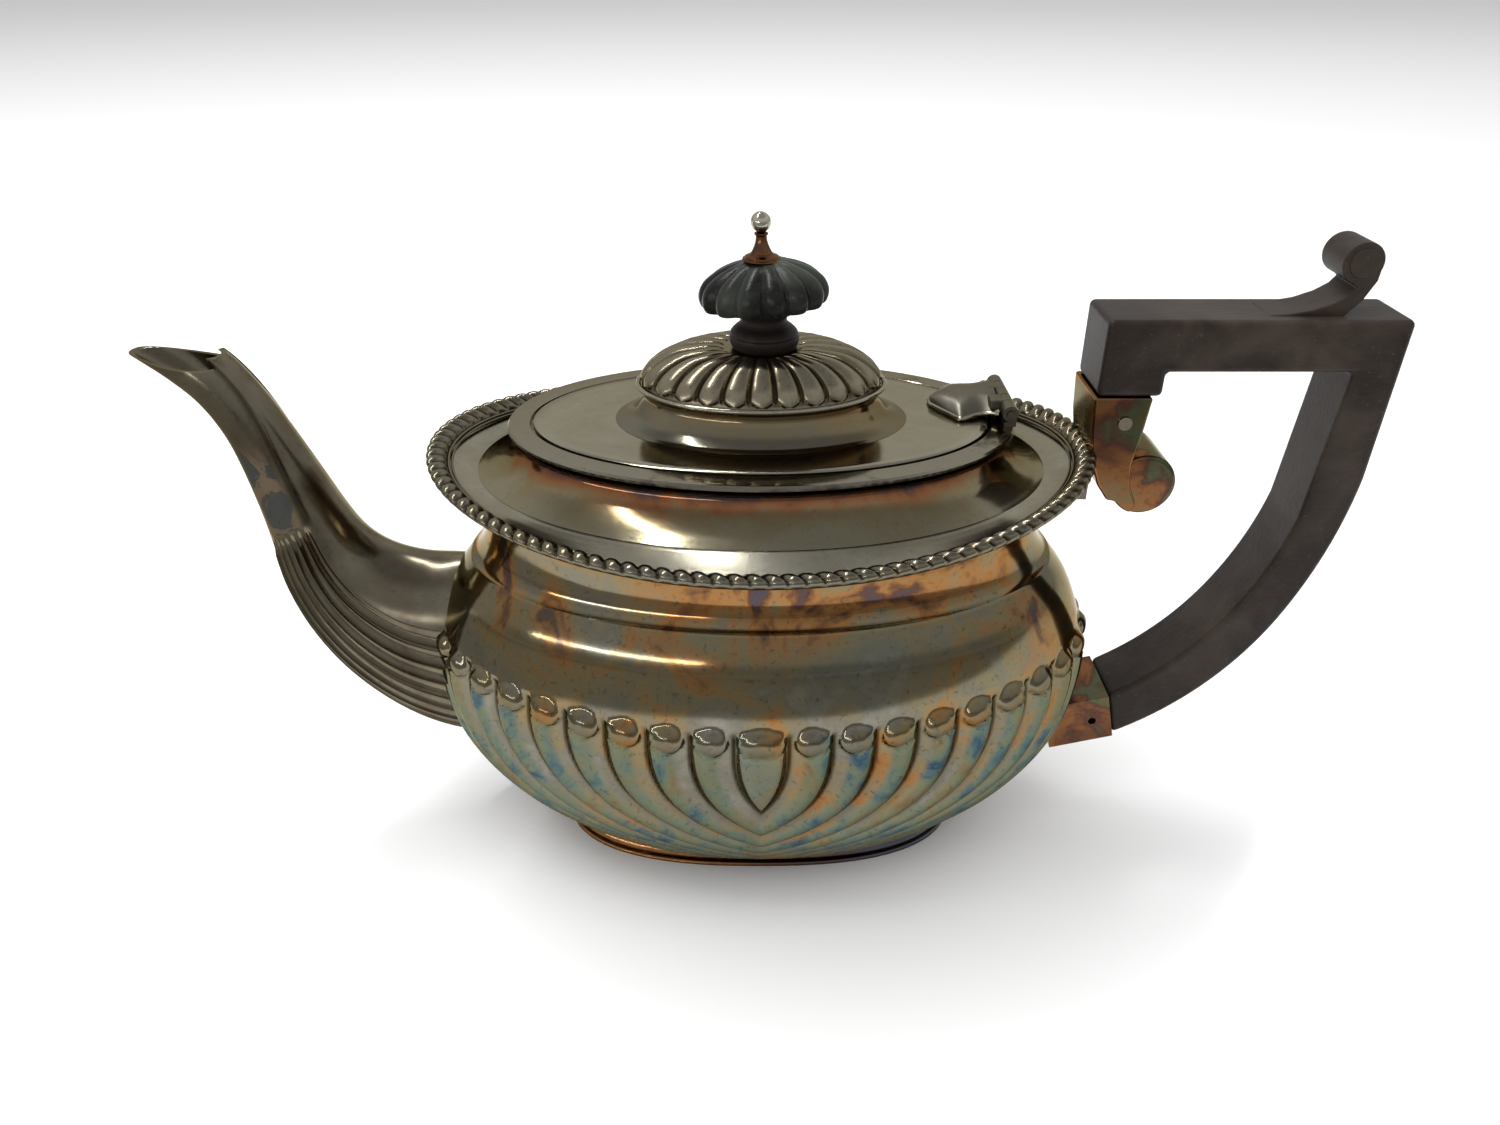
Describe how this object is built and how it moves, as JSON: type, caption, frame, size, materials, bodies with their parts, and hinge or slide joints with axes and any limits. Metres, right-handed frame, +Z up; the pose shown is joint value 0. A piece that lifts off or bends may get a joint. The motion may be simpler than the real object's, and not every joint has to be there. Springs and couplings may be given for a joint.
{
  "type": "teapot",
  "caption": "Oval footed teapot with a lobed belly, a reeded curved spout, a corded rim, a hinged domed lid with a wooden finial, and an angular wooden handle in metal sockets.",
  "frame": {"origin": "centre of the foot on the surface that the pot stands on", "axes": "+X towards the handle, -X towards the spout, +Z up"},
  "size_m": [0.2724, 0.1074, 0.1555],
  "materials": {
    "silver_plate": "heavily tarnished silver plate, worn mirror polish",
    "silver_border": "cast silver-plated border, dark tarnish in the recesses",
    "silver_bright": "rubbed silver plate, brighter at the tip",
    "hinge_metal": "worn grey plated metal",
    "ebonised_wood": "ebonised hardwood, satin, greyed with age",
    "brass_fastener": "dull brass"
  },
  "bodies": {
    "pot": {"body_shell": "silver_plate", "foot_ring": "silver_plate", "rim_flange": "silver_plate", "gadroon_border": "silver_border", "mouth_collar": "silver_plate", "spout": "silver_plate", "hinge_fixed_leaf": "hinge_metal", "hinge_pin": "hinge_metal", "handle": "ebonised_wood", "upper_socket": "silver_plate", "socket_stay": "silver_plate", "lower_socket": "silver_plate", "upper_rivet": "silver_bright"},
    "lid": {"lid_plate": "silver_plate", "lid_bezel": "silver_plate", "lid_gallery": "silver_plate", "dome_edge_wire": "silver_border", "lid_dome": "silver_plate", "finial_collar": "ebonised_wood", "finial_knob": "ebonised_wood", "finial_cap": "silver_bright", "finial_bolt": "silver_bright", "finial_washer": "brass_fastener", "finial_nut": "brass_fastener", "hinge_lid_leaf": "hinge_metal"}
  },
  "joints": [
    {"name": "lid_hinge", "type": "hinge", "parent": "pot", "child": "lid", "pos_m": [0.0544, 0.004, 0.1136], "axis": [0, 1, 0], "range_deg": [0, 100]}
  ]
}
